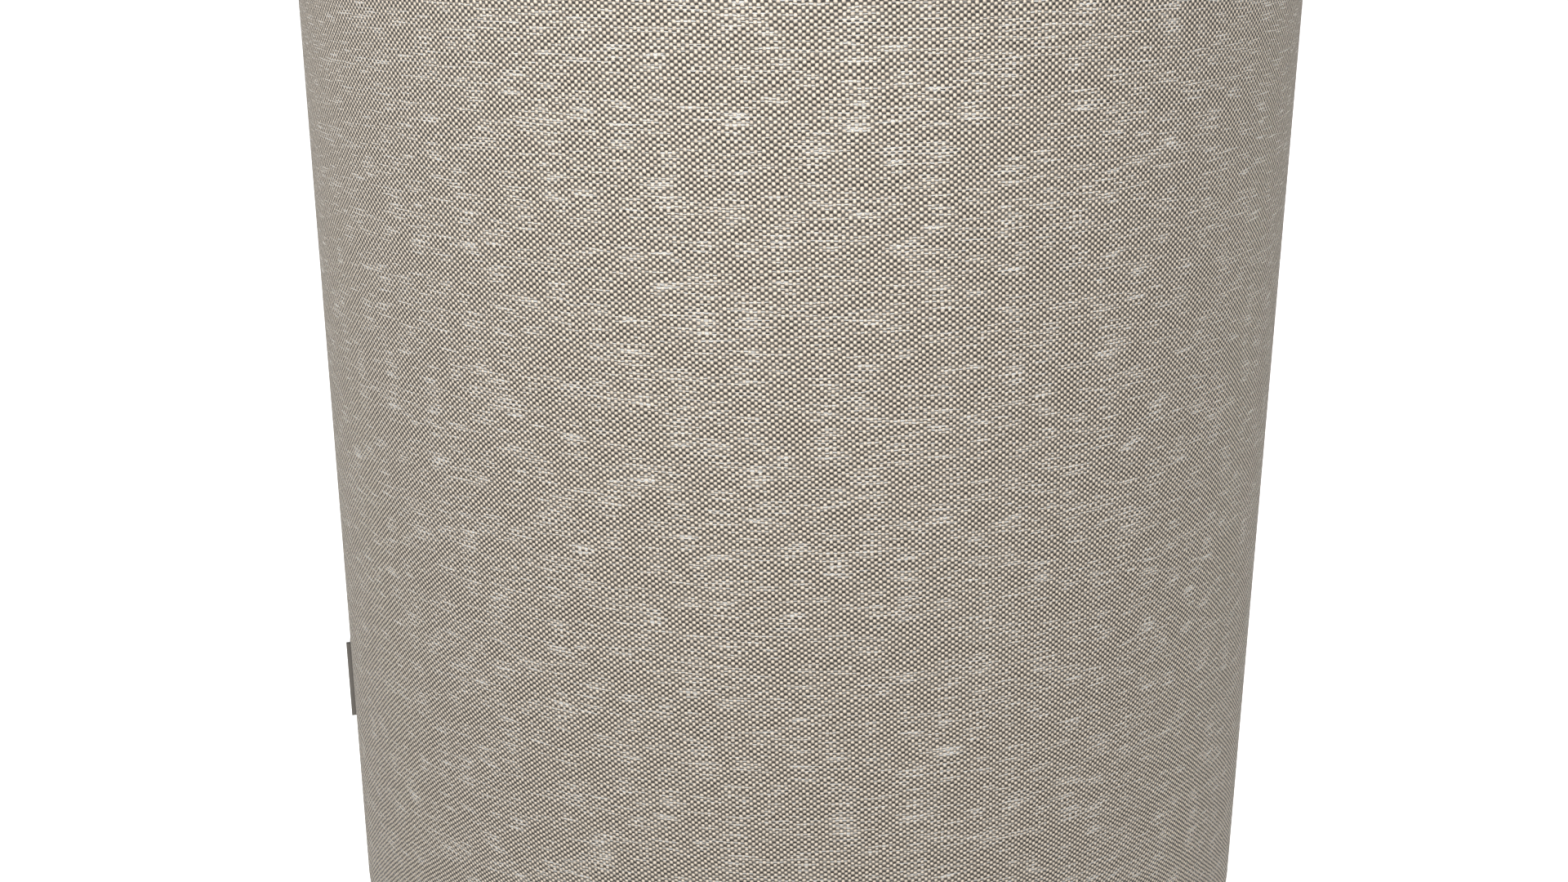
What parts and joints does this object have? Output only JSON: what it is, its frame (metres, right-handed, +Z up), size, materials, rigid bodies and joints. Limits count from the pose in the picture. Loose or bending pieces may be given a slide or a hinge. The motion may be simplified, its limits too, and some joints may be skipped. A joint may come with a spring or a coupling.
{
  "type": "smart speaker",
  "caption": "Upright cylindrical smart speaker covered in two-tone woven cloth, with a blank badge, a top button panel, a rear power inlet and a rubber foot.",
  "frame": {"origin": "middle of the rubber foot's underside", "axes": "+Z up the cylinder's axis, -Y out of the front with the badge, +Y out of the back with the inlet"},
  "size_m": [0.14, 0.1402, 0.19],
  "materials": {
    "fabric": "two-tone plain weave, cream over dark grey",
    "badge_metal": "satin warm grey",
    "dark_plastic": "fine matte",
    "button_plastic": "fine matte",
    "base_plastic": "fine texture",
    "rear_plastic": "fine texture",
    "inlet_plastic": "half gloss",
    "frame_plastic": "matte",
    "switch_plastic": "matte",
    "trim_metal": "satin warm grey",
    "foot_rubber": "matte",
    "screw_steel": "zinc plated",
    "contact_metal": "nickel plated",
    "reset_plastic": "satin",
    "light_guide": "milky",
    "circuit_board": "solder mask",
    "ribbon_plastic": "satin",
    "heat_sink_metal": "extruded",
    "magnet_metal": "ground ferrite and plated steel",
    "winding": "taped winding on a ferrite core",
    "capacitor_can": "sleeved can",
    "harness_rubber": "matte",
    "lead_rubber": "matte",
    "gasket_foam": "open foam",
    "frame_steel": "powder coat",
    "cone_paper": "pressed paper",
    "coil_copper": "enamelled wire",
    "surround_rubber": "moulded",
    "spider_cloth": "resin-stiffened cloth",
    "dome_silk": "coated cloth"
  },
  "bodies": {
    "casing": {"fabric_sleeve": "fabric", "badge": "badge_metal", "grille_shell": "dark_plastic", "upper_ring": "dark_plastic", "lower_housing": "dark_plastic", "control_panel": "dark_plastic", "base_cover": "base_plastic", "rear_panel": "rear_plastic", "power_inlet": "inlet_plastic", "top_chassis": "frame_plastic", "acoustic_enclosure": "frame_plastic", "enclosure_lid": "frame_plastic", "tweeter_frame": "frame_plastic", "action_switch": "switch_plastic", "volume_up_switch": "switch_plastic", "mic_mute_switch": "switch_plastic", "volume_down_switch": "switch_plastic", "source_switch": "switch_plastic", "reset_switch": "switch_plastic", "trim_ring": "trim_metal", "foot_ring": "foot_rubber", "base_screw_1": "screw_steel", "base_screw_2": "screw_steel", "base_screw_3": "screw_steel", "base_screw_4": "screw_steel", "inlet_pin_left": "contact_metal", "inlet_pin_right": "contact_metal", "light_ring": "light_guide", "control_board": "circuit_board", "main_board": "circuit_board", "power_board": "circuit_board", "antenna_left": "circuit_board", "antenna_right": "circuit_board", "control_ribbon": "ribbon_plastic", "heat_sink": "heat_sink_metal", "woofer_magnet": "magnet_metal", "tweeter_magnet": "magnet_metal", "transformer": "winding", "bulk_capacitor_large": "capacitor_can", "bulk_capacitor_small": "capacitor_can", "power_harness": "harness_rubber", "woofer_lead": "lead_rubber", "tweeter_lead": "lead_rubber", "enclosure_gasket": "gasket_foam", "damping_pad": "gasket_foam", "woofer_basket": "frame_steel", "radiator_frame": "frame_steel", "woofer_surround": "surround_rubber", "radiator_surround": "surround_rubber", "woofer_spider": "spider_cloth"},
    "action_button": {"action_button": "button_plastic"},
    "volume_up_button": {"volume_up_button": "button_plastic"},
    "mic_mute_button": {"mic_mute_button": "button_plastic"},
    "volume_down_button": {"volume_down_button": "button_plastic"},
    "source_button": {"source_button": "button_plastic"},
    "reset_button": {"reset_button": "reset_plastic"},
    "woofer_cone": {"woofer_cone": "cone_paper", "woofer_voice_coil": "coil_copper"},
    "tweeter_dome": {"tweeter_dome": "dome_silk"},
    "radiator_cone": {"radiator_cone": "cone_paper"}
  },
  "joints": [
    {"name": "action_press", "type": "slide", "parent": "casing", "child": "action_button", "axis": [0, 0, -1], "range_m": [0, 0.0006], "stiffness_N_per_m": 900},
    {"name": "volume_up_press", "type": "slide", "parent": "casing", "child": "volume_up_button", "axis": [0, 0, -1], "range_m": [0, 0.0006], "stiffness_N_per_m": 900},
    {"name": "mic_mute_press", "type": "slide", "parent": "casing", "child": "mic_mute_button", "axis": [0, 0, -1], "range_m": [0, 0.0006], "stiffness_N_per_m": 900},
    {"name": "volume_down_press", "type": "slide", "parent": "casing", "child": "volume_down_button", "axis": [0, 0, -1], "range_m": [0, 0.0006], "stiffness_N_per_m": 900},
    {"name": "source_press", "type": "slide", "parent": "casing", "child": "source_button", "axis": [0, 0, -1], "range_m": [0, 0.0006], "stiffness_N_per_m": 900},
    {"name": "reset_press", "type": "slide", "parent": "casing", "child": "reset_button", "axis": [0, -1, 0], "range_m": [0, 0.0008], "stiffness_N_per_m": 800},
    {"name": "woofer_stroke", "type": "slide", "parent": "casing", "child": "woofer_cone", "axis": [0, -1, 0], "range_m": [-0.003, 0.003], "stiffness_N_per_m": 1500, "deforming": ["woofer_surround", "woofer_spider"]},
    {"name": "tweeter_stroke", "type": "slide", "parent": "casing", "child": "tweeter_dome", "axis": [0, -1, 0], "range_m": [-0.0003, 0.0003], "stiffness_N_per_m": 2000},
    {"name": "radiator_stroke", "type": "slide", "parent": "casing", "child": "radiator_cone", "axis": [0, 1, 0], "range_m": [-0.004, 0.004], "stiffness_N_per_m": 900, "deforming": ["radiator_surround"]}
  ]
}
